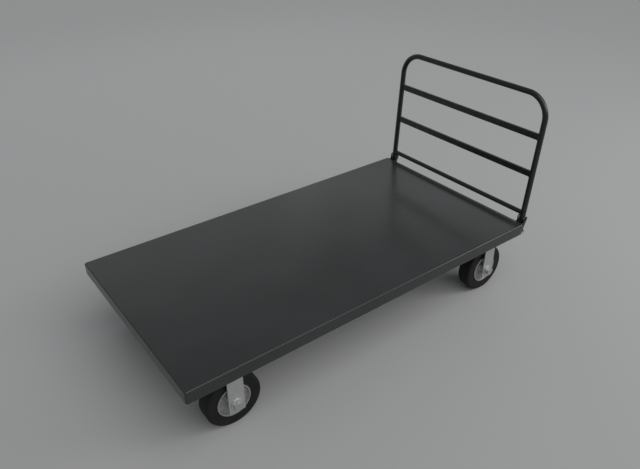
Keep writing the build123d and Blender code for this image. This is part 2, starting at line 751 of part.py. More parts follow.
# The ear's rear edge runs from its foot to a tangent on the round about the pivot
ear_run = pivot_setback - ear_foot
ear_climb = pivot_z - clevis_bottom
edge_angle = atan2(ear_climb, ear_run) - asin(ear_radius / hypot(ear_run, ear_climb))
tangent_angle = edge_angle - radians(90)
for name, side in sides.items():
    clevis_y = side * handle_y

    # Clevis: a web on the rear apron and two ears that rise beside the tube's foot
    with BuildPart() as clevis:
        with BuildSketch(Plane.XZ.offset(-clevis_y - ear_outer)):
            with BuildLine():
                Polyline(
                    (pivot_x - ear_radius, pivot_z),
                    (pivot_x - ear_radius, deck_top - clevis_top_gap),
                    (deck_rear, deck_top - deck_edge_radius),
                    (deck_rear, clevis_bottom),
                    (deck_rear + ear_foot, clevis_bottom),
                    (
                        pivot_x + ear_radius * cos(tangent_angle),
                        pivot_z + ear_radius * sin(tangent_angle),
                    ),
                )
                CenterArc(
                    (pivot_x, pivot_z),
                    ear_radius,
                    degrees(tangent_angle),
                    180 - degrees(tangent_angle),
                )
            make_face()
            with Locations((pivot_x, pivot_z)):
                Circle(pivot_pin_diameter / 2 + thread_clearance, mode=Mode.SUBTRACT)
        extrude(amount=2 * ear_outer)
        with BuildSketch(Plane.XY.offset(clevis_bottom)):
            with Locations(((web_rear + pivot_x + ear_radius) / 2, clevis_y)):
                Rectangle(pivot_x + ear_radius - web_rear, 2 * ear_inner)
            with Locations((deck_rear + clevis_wall / 2, clevis_y)):
                Rectangle(clevis_wall, 2 * ear_inner)
        extrude(amount=apron_depth + pivot_rise + ear_radius, mode=Mode.SUBTRACT)
        with BuildSketch(Plane.XY.offset(clevis_bottom)):
            with Locations((deck_rear + clevis_wall / 2, clevis_y)):
                Rectangle(clevis_wall, 2 * ear_outer)
        extrude(amount=apron_depth - deck_edge_radius)
    save(clevis, f"hinge_clevis_{name}")

    # Corner plate: bolted under the side lip, with its rear end turned up behind the foot
    plate_front = deck_rear - corner_plate_reach
    plate_rear = deck_rear + corner_plate_overhang
    plate_length_x = plate_rear - plate_front
    plate_y = side * (handle_y - corner_plate_inward_shift)
    with BuildPart() as corner_plate:
        with BuildSketch(Plane.XY.offset(corner_plate_bottom)):
            with Locations(((plate_front + plate_rear) / 2, plate_y)):
                RectangleRounded(plate_length_x, corner_plate_width, corner_plate_radius)
        extrude(amount=corner_plate_thickness)
        with BuildSketch(Plane.XY.offset(corner_plate_bottom)):
            with Locations((plate_rear - corner_plate_upstand_wall / 2, plate_y)):
                Rectangle(corner_plate_upstand_wall, corner_plate_width - 2 * corner_plate_radius)
        extrude(amount=corner_plate_upstand)
        with BuildSketch(Plane.XY.offset(corner_plate_bottom)):
            with Locations(*corner_bolt_places(side)):
                Circle(corner_bolt_hole)
            with Locations((pivot_x - foot_length * sin(lean), clevis_y)):
                Circle(plunger_diameter / 2 + thread_clearance)
        extrude(amount=corner_plate_thickness, mode=Mode.SUBTRACT)
    save(corner_plate, f"corner_plate_{name}")

# Pivot rivets: a shank through both ears, a low head at each end
rivet_half = ear_outer + pivot_head_height
with BuildPart() as pivot_rivets:
    for side in sides.values():
        with BuildSketch(along_y(pivot_x, side * handle_y - rivet_half, pivot_z)):
            Circle(pivot_pin_diameter / 2)
        extrude(amount=2 * rivet_half)
        for face in (-1, 1):
            with BuildSketch(along_y(pivot_x, side * handle_y + face * ear_outer, pivot_z)):
                Circle(pivot_head_diameter / 2)
            extrude(amount=face * pivot_head_height, taper=pivot_head_taper)
save(pivot_rivets, "pivot_rivets")

with BuildPart() as pivot_washers:
    for side in sides.values():
        for face in (-1, 1):
            with BuildSketch(along_y(pivot_x, side * handle_y + face * ear_inner, pivot_z)):
                Circle(pivot_washer_diameter / 2)
                Circle(pivot_pin_diameter / 2 + thread_clearance, mode=Mode.SUBTRACT)
            extrude(amount=-face * pivot_washer_thickness)
save(pivot_washers, "pivot_washers")

# Rest stop: a rubber pad on the clevis web, which the foot leans against
stop_top = pivot_z - stop_below_pivot + stop_height / 2
stop_bottom = stop_top - stop_height
foot_front = pivot_x - (pivot_z - stop_bottom) * sin(lean) / cos(lean) - tube_diameter / 2 / cos(lean)
with BuildPart() as rest_stops:
    with BuildSketch(Plane.XY.offset(stop_bottom)):
        for side in sides.values():
            with Locations(((web_rear + foot_front - stop_clearance) / 2, side * handle_y)):
                Rectangle(foot_front - stop_clearance - web_rear, stop_width)
    extrude(amount=stop_height)
save(rest_stops, "rest_stops")

# Spring plungers in the corner plates, whose round noses face the feet
nose_top = pivot_z - foot_length - stop_clearance
nose_radius = plunger_nose_diameter / 2
plunger_places = [(pivot_x - foot_length * sin(lean), side * handle_y) for side in sides.values()]
with BuildPart() as detent_plungers:
    with BuildSketch(Plane.XY.offset(corner_plate_bottom - plunger_tail)):
        with Locations(*plunger_places):
            Circle(plunger_diameter / 2)
    extrude(amount=nose_top - plunger_nose_height - corner_plate_bottom + plunger_tail)
    with BuildSketch(Plane.XY.offset(nose_top - plunger_nose_height)):
        with Locations(*plunger_places):
            Circle(nose_radius)
    extrude(amount=plunger_nose_height - nose_radius)
    for x, y in plunger_places:
        with Locations((x, y, nose_top - nose_radius)):
            Sphere(nose_radius)
save(detent_plungers, "detent_plungers")

corner_bolt_top = apron_bottom + sheet + plate_nut_height + bolt_end
with BuildPart() as plate_bolts:
    with BuildSketch(Plane.XY.offset(corner_plate_bottom)):
        with Locations(*both_corner_bolts):
            Circle(plate_bolt_diameter / 2)
    extrude(amount=corner_bolt_top - corner_plate_bottom)
    with BuildSketch(Plane.XY.offset(corner_plate_bottom - plate_head_height)):
        with Locations(*both_corner_bolts):
            RegularPolygon(plate_bolt_flats / 2, 6, major_radius=False)
    extrude(amount=plate_head_height)
save(plate_bolts, "plate_bolts")

with BuildPart() as plate_nuts:
    with BuildSketch(Plane.XY.offset(apron_bottom + sheet)):
        with Locations(*both_corner_bolts):
            RegularPolygon(plate_bolt_flats / 2, 6, major_radius=False)
            Circle(plate_bolt_diameter / 2 + thread_clearance, mode=Mode.SUBTRACT)
    extrude(amount=plate_nut_height)
save(plate_nuts, "plate_nuts")
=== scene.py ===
import json
from math import cos, pi, radians, sin, sqrt, tan

import bmesh
import bpy
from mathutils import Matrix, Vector


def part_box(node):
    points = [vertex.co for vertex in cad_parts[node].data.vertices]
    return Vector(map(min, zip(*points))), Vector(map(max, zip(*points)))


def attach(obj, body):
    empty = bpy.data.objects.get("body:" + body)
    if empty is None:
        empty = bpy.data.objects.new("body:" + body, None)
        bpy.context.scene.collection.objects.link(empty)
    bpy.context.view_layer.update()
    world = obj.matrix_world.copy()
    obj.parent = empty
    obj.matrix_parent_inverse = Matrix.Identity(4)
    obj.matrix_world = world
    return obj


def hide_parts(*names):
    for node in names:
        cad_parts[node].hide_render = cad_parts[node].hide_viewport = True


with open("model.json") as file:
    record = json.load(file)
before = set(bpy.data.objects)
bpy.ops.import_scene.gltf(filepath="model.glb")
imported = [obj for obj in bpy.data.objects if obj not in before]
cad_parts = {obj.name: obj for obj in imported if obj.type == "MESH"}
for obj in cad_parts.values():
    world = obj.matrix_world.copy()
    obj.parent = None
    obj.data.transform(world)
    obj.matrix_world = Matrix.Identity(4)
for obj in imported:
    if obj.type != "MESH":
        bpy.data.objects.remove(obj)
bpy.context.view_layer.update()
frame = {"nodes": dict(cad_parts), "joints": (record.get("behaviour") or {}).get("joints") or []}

# ---------------------------------------------------------------------------------------------
# Camera: a normal lens at a standing person's eye, off the cart's left front corner, looking
# down over the deck at the handle.
camera_place = (-1.2306, -1.6102, 1.5851)
camera_down = radians(31.98)
camera_heading = radians(37.34)
bpy.ops.object.camera_add(location=camera_place, rotation=(pi / 2 - camera_down, 0, -camera_heading))
camera = bpy.context.object
camera.data.sensor_width = 36
camera.data.lens = 34.56
bpy.context.scene.camera = camera

# ---------------------------------------------------------------------------------------------
# Studio: a pale floor, a broad even light from above the near side, soft windows beyond the far
# side, the handle end and the near rear corner, and a pale surround for the finishes to reflect.
world = bpy.data.worlds.new("studio")
world.use_nodes = True
surround = world.node_tree.nodes["Background"]
surround.inputs["Color"].default_value = (0.88, 0.91, 0.93, 1)
surround.inputs["Strength"].default_value = 0.28
bpy.context.scene.world = world
bpy.context.scene.view_settings.view_transform = "Standard"

bpy.ops.object.light_add(type="SUN", rotation=(radians(38), radians(8), 0))
broad_light = bpy.context.object
broad_light.name = "broad_light"
broad_light.data.angle = radians(70)
broad_light.data.energy = 1.52

lamps = {
    "far_window": ((0.6, 4.2, 2.5), (4.5, 1.8), 7),
    "end_window": ((3.9, 2.9, 2.6), (3.6, 0.6), 4),
    "right_window": ((3.3, -2.4, 2.1), (1.4, 1.4), 32),
}
for name, (place, (width, height), watts) in lamps.items():
    bpy.ops.object.light_add(type="AREA", location=place)
    lamp = bpy.context.object
    lamp.name = name
    lamp.data.shape = "RECTANGLE"
    lamp.data.size = width
    lamp.data.size_y = height
    lamp.data.energy = watts
    lamp.visible_camera = False
    lamp.rotation_euler = (Vector((0, 0, 0.3)) - Vector(place)).to_track_quat("-Z", "Y").to_euler()

floor_width = 120
bpy.ops.mesh.primitive_plane_add(size=floor_width, location=(0, 0, 0))
floor = bpy.context.object
floor.name = "studio_floor"
floor_paint = bpy.data.materials.new("pale_floor")
floor_paint.use_nodes = True
floor_shader = floor_paint.node_tree.nodes["Principled BSDF"]
floor_shader.inputs["Base Color"].default_value = (0.42, 0.42, 0.42, 1)
floor_shader.inputs["Roughness"].default_value = 0.9
floor.data.materials.append(floor_paint)

# ---------------------------------------------------------------------------------------------
# Deck: one sheet of 2.5 mm steel pressed into a shallow pan, with an apron all round and a
# return lip under it. Its corners are welded and ground round, then it is powder coated charcoal.
mm = 0.001


class Shade:
    """A socket of a material's node tree. Arithmetic on it adds Math nodes."""

    def __init__(self, tree, socket=None):
        self.tree = tree
        self.socket = socket

    def node(self, kind, settings, inputs, output=0):
        """Add a node of any kind: its settings first, then the values or links of its sockets."""
        made = self.tree.nodes.new(kind)
        for key, value in settings.items():
            setattr(made, key, value)
        for key, value in inputs.items():
            if isinstance(value, Shade):
                self.tree.links.new(value.socket, made.inputs[key])
            else:
                made.inputs[key].default_value = value
        return Shade(self.tree, made.outputs[output])

    def maths(self, operation, first, second):
        return self.node("ShaderNodeMath", {"operation": operation}, {0: first, 1: second})

    def __add__(self, other):
        return self.maths("ADD", self, other)

    def __radd__(self, other):
        return self.maths("ADD", other, self)

    def __sub__(self, other):
        return self.maths("SUBTRACT", self, other)

    def __rsub__(self, other):
        return self.maths("SUBTRACT", other, self)

    def __mul__(self, other):
        return self.maths("MULTIPLY", self, other)

    def __rmul__(self, other):
        return self.maths("MULTIPLY", other, self)

    def place(self):
        """Object coordinates: metres from the cart's origin."""
        return self.node("ShaderNodeTexCoord", {}, {}, "Object")

    def noise(self, scale, detail=3.0, rough=0.5, stretch=(1, 1, 1)):
        """Smooth random pattern with about `scale` blobs to the metre."""
        place = self.node("ShaderNodeMapping", {}, {"Vector": self.place(), "Scale": stretch})
        inputs = {"Vector": place, "Scale": scale, "Detail": detail, "Roughness": rough}
        return self.node("ShaderNodeTexNoise", {}, inputs)

    def cells(self, scale):
        """Distance from the middles of random cells, `scale` to the metre."""
        return self.node("ShaderNodeTexVoronoi", {}, {"Vector": self.place(), "Scale": scale})

    def edges(self):
        """Near 1 on convex edges and near 0 elsewhere."""
        return self.node("ShaderNodeNewGeometry", {}, {}, "Pointiness").between(0.53, 0.60)

    def between(self, low, high):
        """0 below `low`, 1 above `high` and smooth between."""
        inputs = {"Value": self, "From Min": low, "From Max": high}
        return self.node("ShaderNodeMapRange", {"interpolation_type": "SMOOTHSTEP"}, inputs)

    def tint(self, first, second):
        """Colour that goes from `first` to `second` with this value."""
        first = first if isinstance(first, Shade) else (*first, 1)
        second = second if isinstance(second, Shade) else (*second, 1)
        return self.node("ShaderNodeMix", {"data_type": "RGBA"}, {0: self, 6: first, 7: second}, 2)

    def bump(self, strength, depth, under=None):
        """Normal that takes this value as a height, over another one."""
        inputs = {"Height": self, "Strength": strength, "Distance": depth}
        if under:
            inputs["Normal"] = under
        return self.node("ShaderNodeBump", {}, inputs)


def material(name, constants, patterns):
    """Principled material from fixed values and a function that returns the patterns by socket."""
    made = bpy.data.materials.new(name)
    made.use_nodes = True
    shader = made.node_tree.nodes["Principled BSDF"]
    for key, value in constants.items():
        shader.inputs[key].default_value = value
    for key, value in patterns(Shade(made.node_tree)).items():
        made.node_tree.links.new(value.socket, shader.inputs[key])
    return made


def powder_coat(name, colour, roughness, edge_wear_and_highlight):
    """Satin powder coat: orange peel, fine grain, a cloudy tone, dusty scuffs, and paler convex edges,
    partly worn paint and partly a painted highlight.
    """
    deep = [0.88 * c for c in colour]
    light = [1.14 * c for c in colour]
    dusty = [1.3 * c + 0.006 for c in colour]
    # Pale colour for convex edges: bare undercoat where the paint is worn, and a painted edge highlight.
    primer_and_highlight = [0.8 * c + 0.05 for c in colour]

    def patterns(s):
        cloud = s.noise(4.0, 4.0)
        speckle = s.noise(650.0, 2.0)
        scuff = s.noise(17.0, 7.0, 0.72, (0.5, 2.0, 2.0)).between(0.60, 0.80)
        # Convex edges painted paler: partly worn paint, partly a painted highlight; the last argument sets
        # how strong both are.
        rubbed_and_highlit_edges = s.edges() * s.noise(38.0, 5.0, 0.7).between(0.42, 0.62) * edge_wear_and_highlight
        coat = (0.7 * cloud + 0.3 * speckle).between(0.3, 0.7).tint(deep, light)
        used = (scuff * 0.22).tint(coat, dusty)
        peel = s.noise(210.0, 2.0, 0.4).bump(0.30, 0.1 * mm)
        return {
            "Base Color": rubbed_and_highlit_edges.tint(used, primer_and_highlight),
            "Roughness": roughness + 0.10 * cloud + 0.06 * scuff - 0.05,
            "Normal": speckle.bump(0.22, 0.04 * mm, under=peel),
        }

    return material(name, {"Specular IOR Level": 0.5}, patterns)


def clear():
    """Nothing selected, in object mode."""
    if bpy.context.mode == "EDIT_MESH":
        bpy.ops.object.mode_set(mode="OBJECT")
    bpy.ops.object.select_all(action="DESELECT")


def settle():
    """Fix the active piece's place, turn and scale in its mesh."""
    bpy.ops.object.transform_apply(location=True, rotation=True, scale=True)


def face_outwards():
    """In edit mode, turn every face's direction outwards."""
    bpy.ops.mesh.select_all(action="SELECT")
    bpy.ops.mesh.normals_make_consistent(inside=False)


def choose(test, kind="FACE"):
    """In edit mode, select the faces, edges or vertices whose middle and direction pass a test."""
    bpy.ops.mesh.select_mode(type=kind)
    bpy.ops.mesh.select_all(action="DESELECT")
    edited = bmesh.from_edit_mesh(bpy.context.object.data)
    for face in edited.faces if kind == "FACE" else ():
        face.select_set(test(face.calc_center_median(), face.normal))
    for edge in edited.edges if kind == "EDGE" else ():
        first, last = (vertex.co for vertex in edge.verts)
        edge.select_set(test((first + last) / 2, (last - first).normalized()))
    for vertex in edited.verts if kind == "VERT" else ():
        vertex.select_set(test(vertex.co, vertex.normal))
    edited.select_flush_mode()
    bmesh.update_edit_mesh(bpy.context.object.data)


def pull(x=0.0, y=0.0, z=0.0):
    """Extrude what is selected along a vector."""
    bpy.ops.mesh.extrude_region_move(TRANSFORM_OT_translate={"value": (x, y, z)})


def block(name, low, high):
    """Cube between two corners, left in edit mode."""
    clear()
    low, high = Vector(low), Vector(high)
    bpy.ops.mesh.primitive_cube_add(size=1, location=(low + high) / 2, scale=high - low)
    bpy.context.object.name = name
    settle()
    bpy.ops.object.mode_set(mode="EDIT")
    return bpy.context.object


def close(piece):
    """Leave edit mode with this piece active and alone selected."""
    clear()
    piece.select_set(True)
    bpy.context.view_layer.objects.active = piece


def shape(piece, kind, **settings):
    """Add a modifier, set it up and apply it."""
    close(piece)
    modifier = piece.modifiers.new(kind, kind)
    for key, value in settings.items():
        setattr(modifier, key, value)
    bpy.ops.object.modifier_apply(modifier=modifier.name)


def break_edges(piece, width, segments=2, angle=32):
    """Soften a piece's sharp edges with a small round."""
    shape(
        piece, "BEVEL", width=width, segments=segments, limit_method="ANGLE", angle_limit=radians(angle)
    )


def fold_sheet(piece, wall):
    """Give an open surface the wall of a sheet, inwards from its outer face."""
    shape(piece, "SOLIDIFY", thickness=wall, offset=-1, use_even_offset=True)


def finish(piece, paint, body, slot, *nodes, smooth=34):
    """Fix a piece's place in its mesh, shade and paint it, parent it to its body and hide the nodes it
    replaces.
    """
    close(piece)
    settle()
    bpy.ops.object.shade_smooth_by_angle(angle=radians(smooth))
    shape(piece, "WEIGHTED_NORMAL", keep_sharp=True)
    piece.data.materials.clear()
    piece.data.materials.append(paint)
    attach(piece, body)
    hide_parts(*nodes)
    clear()


deck_sheet = 2.5 * mm
deck_lip = 22 * mm
deck_corner = 9 * mm
deck_edge = 4.5 * mm
apron_bend = 3 * mm
deck_low, deck_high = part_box("deck_pan")
deck_size = deck_high - deck_low
deck_middle = (deck_low + deck_high) / 2
deck_paint = powder_coat("charcoal_powder_coat", (0.0250, 0.0282, 0.0282), 0.25, 0.45)

deck = block("deck", deck_low, deck_high)
choose(lambda centre, normal: normal.z < -0.9)
bpy.ops.mesh.delete(type="FACE")
choose(lambda centre, way: abs(way.z) > 0.9, "EDGE")
bpy.ops.mesh.bevel(offset=deck_corner, segments=6)
choose(lambda centre, normal: normal.z > 0.9)
bpy.ops.mesh.region_to_loop()
bpy.ops.mesh.bevel(offset=deck_edge, segments=5)
choose(lambda centre, way: centre.z < deck_low.z + 0.1 * mm, "EDGE")
pull()
bpy.ops.transform.resize(
    value=((deck_size.x - 2 * deck_lip) / deck_size.x, (deck_size.y - 2 * deck_lip) / deck_size.y, 1),
    center_override=deck_middle,
)
lip_inside = deck_size / 2 - Vector((deck_lip, deck_lip, 0)) - Vector((0, 0, deck_size.z))


def on_apron_foot(centre, way):
    """Edges along the bottom of the apron, where the lip turns in."""
    off = centre - deck_middle
    outside = abs(off.x) > lip_inside.x + deck_lip / 2 or abs(off.y) > lip_inside.y + deck_lip / 2
    level = abs(way.z) < 0.1 and centre.z < deck_low.z + 0.1 * mm
    along = abs(off.x) > deck_size.x / 2 - deck_corner or abs(off.y) > deck_size.y / 2 - deck_corner
    return outside and level and along


choose(on_apron_foot, "EDGE")
bpy.ops.mesh.bevel(offset=apron_bend, segments=4)
face_outwards()
fold_sheet(deck, deck_sheet)
finish(deck, deck_paint, "deck", "deck_paint", "deck_pan", smooth=40)

# ---------------------------------------------------------------------------------------------
# Channels under the deck: two deep ones across it for the casters and three shallow ones along
# it, folded from plate, stitch welded to the pan and painted with it.
rail_wall = 4 * mm
rail_bend = 7 * mm
stiffener_wall = 2.5 * mm
stiffener_bend = 5 * mm
stitch_length = 32 * mm
stitch_pitch = 130 * mm
stitch_leg = 2.8 * mm
stitch_sink = 1.2 * mm
ripple_pitch = 2.2 * mm


def channel(name, low, high, along, wall, bend):
    """Folded U channel between two corners, open upwards: a web, two flanges, then its wall."""
    piece = block(name, low, high)
    choose(lambda centre, normal: normal.z > 0.9 or abs(normal[along]) > 0.9)
    bpy.ops.mesh.delete(type="ONLY_FACE")
    choose(lambda centre, way: abs(way[along]) > 0.9 and centre.z < low.z + 0.1 * mm, "EDGE")
    bpy.ops.mesh.bevel(offset=bend, segments=5)
    face_outwards()
    fold_sheet(piece, wall)
    break_edges(piece, 0.5 * mm, 1, 50)
    return piece


def rod(name, start, way, radius, length, facets):
    """Plain bar from a point in a direction."""
    clear()
    bpy.ops.mesh.primitive_cylinder_add(
        vertices=facets, radius=radius, depth=length, location=start + way * length / 2,
        rotation=way.to_track_quat("Z", "Y").to_euler(),
    )
    bpy.context.object.name = name
    settle()
    return bpy.context.object


def weld_stitch(name, start, way, length, leg):
    """Rippled fillet bead along an inside corner: a ribbed rod, drawn in at both ends."""
    ripples = max(6, int(length / ripple_pitch))
    piece = rod(name, start, way, leg, length, 8)
    bpy.ops.object.mode_set(mode="EDIT")
    choose(lambda centre, along: abs(along.dot(way)) > 0.9, "EDGE")
    bpy.ops.mesh.subdivide(number_cuts=ripples)
    edited = bmesh.from_edit_mesh(piece.data)
    for vertex in edited.verts:
        run = (vertex.co - start).dot(way)
        axis = start + way * run
        taper = min(1, 0.35 + run / (2 * leg), 0.35 + (length - run) / (2 * leg))
        ripple = 1 + 0.13 * cos(2 * pi * run / (2 * length / ripples))
        vertex.co = axis + (vertex.co - axis) * taper * ripple
    bmesh.update_edit_mesh(piece.data)
    close(piece)
    return piece


def join(pieces):
    """Join several finished shapes into the first one."""
    close(pieces[0])
    for piece in pieces:
        piece.select_set(True)
    bpy.ops.object.join()
    return pieces[0]


for end in ("front", "rear"):
    low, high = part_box(f"{end}_caster_rail")
    rail = channel(f"{end}_rail", low, high, 1, rail_wall, rail_bend)
    finish(rail, deck_paint, "deck", "deck_paint", f"{end}_caster_rail")

low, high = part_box("deck_stiffeners")
stiffener_width = 70 * mm
stiffener_pitch = (high.y - low.y - stiffener_width) / 2
stiffeners = []
for number in (-1, 0, 1):
    centre = number * stiffener_pitch
    one_low = Vector((low.x, centre - stiffener_width / 2, low.z))
    one_high = Vector((high.x, centre + stiffener_width / 2, high.z))
    one = channel(f"stiffener_{number + 2}", one_low, one_high, 0, stiffener_wall, stiffener_bend)
    stiffeners.append(one)
finish(join(stiffeners), deck_paint, "deck", "deck_paint", "deck_stiffeners")

stitches = []
for end in ("front", "rear"):
    low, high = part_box(f"{end}_caster_rail")
    for edge_x in (low.x, high.x):
        count = int((high.y - low.y) / stitch_pitch)
        for number in range(count):
            start_y = low.y + (number + 0.5) * (high.y - low.y) / count
            start = Vector((edge_x, start_y, high.z - stitch_sink))
            stitches.append(weld_stitch("stitch", start, Vector((0, 1, 0)), stitch_length, stitch_leg))
low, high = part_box("deck_stiffeners")
for number in (-1, 0, 1):
    for edge in (-1, 1):
        count = int((high.x - low.x) / (2 * stitch_pitch))
        for place in range(count):
            start_x = low.x + (place + 0.4) * (high.x - low.x) / count
            edge_y = number * stiffener_pitch + edge * stiffener_width / 2
            start = Vector((start_x, edge_y, high.z - stitch_sink))
            stitches.append(weld_stitch("stitch", start, Vector((1, 0, 0)), stitch_length, stitch_leg))
deck_welds = join(stitches)
deck_welds.name = "deck_welds"
finish(deck_welds, deck_paint, "deck", "deck_paint")

# ---------------------------------------------------------------------------------------------
# Caster plates: 6 mm steel, sheared with round corners and zinc plated. The front pair carries the
# rigid casters and the rear pair the swivel ones, and all four are bolted under the channels.
sides = {"left": -1, "right": 1}
zinc = (0.58, 0.585, 0.585)


def zinc_plate(name, colour, roughness, stain):
    """Zinc plated steel: soft crystalline mottling, fine draw lines, dull stains, bright edges."""
    dull = [0.62 * c for c in colour]
    bright = [min(1, 1.25 * c) for c in colour]

    def patterns(s):
        mottle = s.cells(170.0).between(0.0, 0.9)
        cloud = s.noise(14.0, 5.0, 0.6)
        lines = s.noise(90.0, 3.0, 0.6, (1.0, 1.0, 9.0))
        stained = s.noise(30.0, 6.0, 0.7).between(0.56, 0.74) * stain
        tone = (0.35 * mottle + 0.4 * cloud + 0.25 * lines).between(0.25, 0.75)
        plated = stained.tint(tone.tint([0.84 * c for c in colour], colour), dull)
        grain = s.noise(900.0, 2.0)
        return {
            "Base Color": (s.edges() * 0.6).tint(plated, bright),
            "Roughness": roughness + 0.16 * cloud + 0.2 * stained - 0.06,
            "Normal": grain.bump(0.18, 0.03 * mm, under=lines.bump(0.12, 0.05 * mm)),
        }

    return material(name, {"Metallic": 0.85, "Specular IOR Level": 0.5}, patterns)


zinc_paint = zinc_plate("zinc_plate", zinc, 0.46, 0.5)
plate_corner = 9 * mm
for kind in ("rigid", "swivel"):
    for name in sides:
        plate = block(f"{kind}_mounting_plate_{name}", *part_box(f"{kind}_plate_{name}"))
        choose(lambda centre, way: abs(way.z) > 0.9, "EDGE")
        bpy.ops.mesh.bevel(offset=plate_corner, segments=6)
        break_edges(plate, 0.8 * mm)
        finish(plate, zinc_paint, "deck", "zinc_plate", f"{kind}_plate_{name}")

# ---------------------------------------------------------------------------------------------
# Rigid forks: one strip of 4.5 mm steel bent to a U over each front wheel, with square feet,
# welded to the underside of its plate before plating.
fork_wall = 4.5 * mm
fork_bend = 9 * mm
leg_corner = 3 * mm
seam_leg = 3.2 * mm
seam_sink = 0.5 * mm
seam_margin = fork_bend + 3 * mm

for name in sides:
    low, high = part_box(f"rigid_fork_{name}")
    fork = block(f"front_fork_{name}", low, high)
    choose(lambda centre, normal: normal.z < -0.9 or abs(normal.x) > 0.9)
    bpy.ops.mesh.delete(type="ONLY_FACE")
    choose(lambda centre, way: abs(way.x) > 0.9 and centre.z > high.z - 0.1 * mm, "EDGE")
    bpy.ops.mesh.bevel(offset=fork_bend, segments=6)
    choose(lambda place, normal: place.z < low.z + 0.1 * mm, "VERT")
    bpy.ops.mesh.bevel(offset=leg_corner, segments=3, affect="VERTICES")
    face_outwards()
    fold_sheet(fork, fork_wall)
    break_edges(fork, 0.6 * mm)
    seams = []
    for edge_x in (low.x, high.x):
        start = Vector((edge_x, low.y + seam_margin, high.z - seam_sink))
        seam_length = high.y - low.y - 2 * seam_margin
        seams.append(weld_stitch("seam", start, Vector((0, 1, 0)), seam_length, seam_leg))
    finish(join([fork, *seams]), zinc_paint, "deck", "zinc_plate", f"rigid_fork_{name}")

# ---------------------------------------------------------------------------------------------
# Swivel forks: pressed from 4.5 mm steel, a round-nosed web over each rear wheel with a skirt
# along its edge, and two straight legs down to the axle behind the kingpin.
skirt_depth = 10 * mm
leg_width = 57 * mm
joint_at = {joint["name"]: Vector(joint["pos_m"]) for joint in frame["joints"]}


def circle(name, radius, place, facets, rotation=(0, 0, 0)):
    """Ring of edges with nothing in it, left in edit mode and wholly selected."""
    clear()
    bpy.ops.mesh.primitive_circle_add(vertices=facets, radius=radius, location=place, rotation=rotation)
    bpy.context.object.name = name
    settle()
    bpy.ops.object.mode_set(mode="EDIT")
    bpy.ops.mesh.select_mode(type="VERT")
    bpy.ops.mesh.select_all(action="SELECT")
    return bpy.context.object


for name in sides:
    low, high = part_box(f"swivel_fork_{name}")
    kingpin = joint_at[f"caster_swivel_{name}"]
    nose = (high.y - low.y) / 2
    skirt_foot = high.z - fork_wall - skirt_depth
    fork = circle(f"rear_fork_{name}", nose, (kingpin.x, kingpin.y, high.z), 64)
    choose(lambda place, normal: place.x > kingpin.x + 0.1 * mm, "VERT")
    bpy.ops.mesh.delete(type="VERT")
    for end_x in (high.x - leg_width, high.x):
        edited = bmesh.from_edit_mesh(fork.data)
        reach = max(vertex.co.x for vertex in edited.verts)
        choose(lambda place, normal: place.x > reach - 0.1 * mm, "VERT")
        pull(x=end_x - reach)
    choose(lambda place, normal: place.x > high.x - 0.1 * mm, "VERT")
    bpy.ops.mesh.edge_face_add()
    bpy.ops.mesh.select_all(action="SELECT")
    bpy.ops.mesh.edge_face_add()
    choose(lambda centre, way: centre.x < high.x - 0.1 * mm, "EDGE")
    pull(z=skirt_foot - high.z)
    choose(
        lambda centre, way: centre.z < skirt_foot + 0.1 * mm and centre.x > high.x - leg_width + 0.1 * mm,
        "EDGE",
    )
    pull(z=low.z - skirt_foot)
    choose(lambda place, normal: place.z < low.z + 0.1 * mm, "VERT")
    bpy.ops.mesh.bevel(offset=leg_corner, segments=3, affect="VERTICES")
    choose(lambda centre, way: centre.z > high.z - 0.1 * mm and centre.x < high.x - 0.1 * mm, "EDGE")
    bpy.ops.mesh.bevel(offset=fork_bend, segments=6)
    face_outwards()
    fold_sheet(fork, fork_wall)
    break_edges(fork, 0.6 * mm)
    finish(fork, zinc_paint, f"swivel_{name}", "zinc_plate", f"swivel_fork_{name}")

# ---------------------------------------------------------------------------------------------
# Swivel bearings: a hardened ring under each plate and one on each fork, with a row of balls
# between them, held by a kingpin and its nut.


def turn(name, centre, along, profile, facets=64, closed=False):
    """Turned piece: a ring pulled along its axis, one step for each (height, radius) given."""
    along = Vector(along)
    height, radius = profile[0]
    square = along.to_track_quat("Z", "Y").to_euler()
    piece = circle(name, radius, Vector(centre) + along * height, facets, square)
    for next_height, next_radius in profile[1:]:
        pull(*(along * (next_height - height)))
        ratio = next_radius / radius
        bpy.ops.transform.resize(
            value=[1 if abs(part) > 0.5 else ratio for part in along],
            center_override=Vector(centre) + along * next_height,
        )
        height, radius = next_height, next_radius
    bpy.ops.mesh.select_all(action="SELECT")
    bpy.ops.mesh.remove_doubles(threshold=1e-6)
    if not closed:
        bpy.ops.mesh.select_all(action="DESELECT")
        bpy.ops.mesh.select_mode(type="EDGE")
        bpy.ops.mesh.select_non_manifold()
        bpy.ops.mesh.fill_holes(sides=0)
    face_outwards()
    close(piece)
    return piece


def ring(name, centre, along, bore, outside, thickness, edge=0.5 * mm, facets=64):
    """Flat ring or washer with broken edges."""
    profile = [
        (0, bore),
        (0, outside - edge),
        (edge, outside),
        (thickness - edge, outside),
        (thickness, outside - edge),
        (thickness, bore),
        (0, bore),
    ]
    return turn(name, centre, along, profile, facets, closed=True)


def cut(piece, cutter, operation="DIFFERENCE"):
    """Cut a piece with another one, or keep only what is inside both, and drop the cutter."""
    shape(piece, "BOOLEAN", operation=operation, solver="EXACT", object=cutter)
    bpy.data.objects.remove(cutter)


def hexagon(name, centre, along, flats, height, chamfer=0.12):
    """Hex head or nut: a six-sided bar, its outer corners turned off at 30 degrees."""
    along = Vector(along)
    corner = flats / sqrt(3)
    piece = rod(name, Vector(centre), along, corner, height, 6)
    slope = tan(radians(30))
    face = flats / 2 * 0.96
    outside = 1.1 * corner
    above = 0.5 * mm
    profile = [
        (-1 * mm, outside),
        (height - (outside - face) * slope, outside),
        (height + above, face - above / slope),
    ]
    cut(piece, turn("turned_off", centre, along, profile, 48), "INTERSECT")
    break_edges(piece, chamfer * mm, 2, 25)
    return piece


